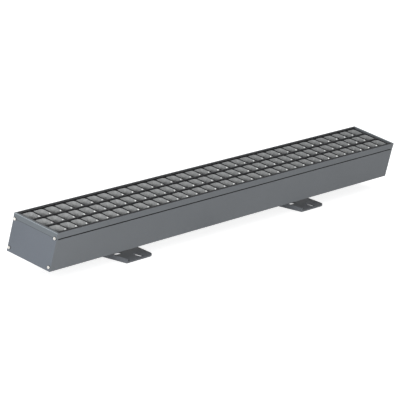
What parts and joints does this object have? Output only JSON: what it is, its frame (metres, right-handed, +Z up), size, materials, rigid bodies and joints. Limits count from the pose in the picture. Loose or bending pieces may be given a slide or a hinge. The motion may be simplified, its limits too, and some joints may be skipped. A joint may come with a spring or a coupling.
{
  "type": "outdoor wall washer light",
  "caption": "Linear outdoor wall washer light: a long grey extruded housing with a deep cell louvre on top, on two sliding, tilting feet.",
  "frame": {"origin": "on the ground, under the middle of the outline of the whole light as it stands, gland included", "axes": "+X along the lamp towards the end with the cable gland, -Y towards the side the lamp leans to, +Z up"},
  "size_m": [1.0258, 0.1, 0.1018],
  "materials": {
    "grey_body": "satin grey powder coat on extruded aluminium",
    "grey_cap": "satin grey powder coat on cast aluminium",
    "grey_bracket": "dark grey powder coat",
    "grey_foot": "dark grey powder coat on an aluminium angle section",
    "black_louvre": "moulded black, matt",
    "satin_reflector": "moulded, satin metallised",
    "clear_glass": "tempered, clear",
    "clear_lens": "clear moulded lens",
    "seal_rubber": "black silicone rubber",
    "bright_steel": "bright stainless steel",
    "board_white": "white solder mask",
    "emitter": "yellow phosphor under a clear dome",
    "supply_case": "bare aluminium case, potted",
    "terminal_white": "moulded, off-white",
    "wire_brown": "insulation",
    "wire_red": "insulation",
    "gland_black": "moulded nylon, black"
  },
  "bodies": {
    "lamp": {"housing": "grey_body", "end_cap_left": "grey_cap", "end_cap_right": "grey_cap", "end_gasket_left": "seal_rubber", "end_gasket_right": "seal_rubber", "end_cap_screws_left": "bright_steel", "end_cap_screws_right": "bright_steel", "louvre_grid": "black_louvre", "reflector_row_front": "satin_reflector", "reflector_row_middle": "satin_reflector", "reflector_row_back": "satin_reflector", "cover_glass": "clear_glass", "glass_seal": "seal_rubber", "lenses": "clear_lens", "light_boards": "board_white", "light_chips": "emitter", "board_screws": "bright_steel", "power_supply": "supply_case", "power_supply_screws": "bright_steel", "terminal_block": "terminal_white", "supply_wires": "wire_brown", "output_wires": "wire_red", "cable_gland": "gland_black", "gland_lock_nut": "gland_black", "gland_seal": "seal_rubber", "gland_dome_nut": "gland_black", "vent_plug": "gland_black"},
    "left_slide": {"bracket_left": "grey_bracket", "slide_nuts_left": "bright_steel", "slide_screws_left": "bright_steel", "tilt_bolt_left": "bright_steel", "tilt_nut_left": "bright_steel", "tilt_washer_left": "bright_steel"},
    "right_slide": {"bracket_right": "grey_bracket", "slide_nuts_right": "bright_steel", "slide_screws_right": "bright_steel", "tilt_bolt_right": "bright_steel", "tilt_nut_right": "bright_steel", "tilt_washer_right": "bright_steel"},
    "left_foot": {"foot_left": "grey_foot"},
    "right_foot": {"foot_right": "grey_foot"}
  },
  "joints": [
    {"name": "left_bracket_slide", "type": "slide", "parent": "lamp", "child": "left_slide", "axis": [1, 0, 0], "range_m": [-0.195, 0.2]},
    {"name": "right_bracket_slide", "type": "slide", "parent": "lamp", "child": "right_slide", "axis": [1, 0, 0], "range_m": [-0.2, 0.195]},
    {"name": "left_foot_tilt", "type": "hinge", "parent": "left_slide", "child": "left_foot", "pos_m": [-0.31265, 0.00817, 0.0155], "axis": [1, 0, 0], "range_deg": [-15, 35]},
    {"name": "right_foot_tilt", "type": "hinge", "parent": "right_slide", "child": "right_foot", "pos_m": [0.20435, 0.00817, 0.0155], "axis": [1, 0, 0], "range_deg": [-15, 35]}
  ],
  "couplings": [
    {"joint": "right_foot_tilt", "follows": "left_foot_tilt", "ratio": 1}
  ]
}
